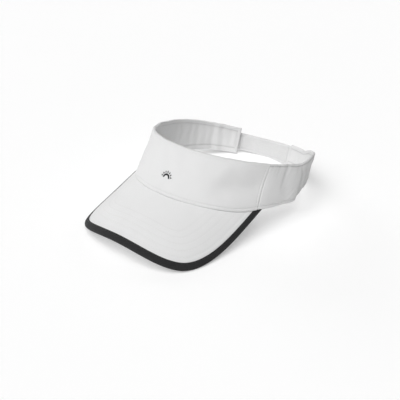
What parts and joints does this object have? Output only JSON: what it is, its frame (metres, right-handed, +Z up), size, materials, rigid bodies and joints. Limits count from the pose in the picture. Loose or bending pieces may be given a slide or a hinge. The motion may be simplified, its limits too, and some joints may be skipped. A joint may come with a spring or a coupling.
{
  "type": "sun visor",
  "caption": "Peaked sun visor: curved cloth bill with dark edge binding, tall leaning front panel, open top and an adjustable hook-and-loop strap behind.",
  "frame": {"origin": "middle of the bounding box's footprint, on the surface the visor stands on", "axes": "-Y is the way the bill points, +X is the wearer's left, +Z is up in the standing pose: the visor rests on the bill's two corners and on the rear strap, so its head band is tipped back 17.4 degrees"},
  "size_m": [0.1738, 0.2694, 0.0845],
  "materials": {
    "white_cloth": "matt white woven cotton twill",
    "lining_cloth": "matt white woven facing and interlining",
    "black_tape": "matt charcoal woven binding tape",
    "board_plastic": "matt moulded sheet",
    "hook_tape": "white hook-and-loop tape",
    "black_thread": "satin embroidery thread"
  },
  "bodies": {
    "crown_and_bill": {"front_panel": "white_cloth", "front_interlining": "lining_cloth", "front_sweatband": "lining_cloth", "left_side_panel": "white_cloth", "right_side_panel": "white_cloth", "bill_top_cover": "white_cloth", "bill_board": "board_plastic", "bill_under_cover": "white_cloth", "bill_binding": "black_tape", "front_embroidery": "black_thread"},
    "left_rear": {"left_rear_panel": "white_cloth", "left_rear_sweatband": "lining_cloth", "strap_root": "white_cloth"},
    "right_rear": {"right_rear_panel": "white_cloth", "right_rear_sweatband": "lining_cloth", "right_end_binding": "white_cloth", "loop_patch": "hook_tape"},
    "strap": {"closure_strap": "white_cloth", "hook_patch": "hook_tape"}
  },
  "joints": [
    {"name": "left_rear_flex", "type": "hinge", "parent": "crown_and_bill", "child": "left_rear", "pos_m": [0.08645, 0.03613, 0.00854], "axis": [0, 0.299, 0.9542], "range_deg": [-5, 5]},
    {"name": "right_rear_flex", "type": "hinge", "parent": "crown_and_bill", "child": "right_rear", "pos_m": [-0.08645, 0.03613, 0.00854], "axis": [0, 0.299, 0.9542], "range_deg": [-5, 5]},
    {"name": "strap_peel", "type": "hinge", "parent": "left_rear", "child": "strap", "pos_m": [0.02295, 0.12312, 0.00171], "axis": [0, -0.299, -0.9542], "range_deg": [0, 70]}
  ],
  "couplings": [
    {"joint": "right_rear_flex", "follows": "left_rear_flex", "ratio": -1}
  ]
}
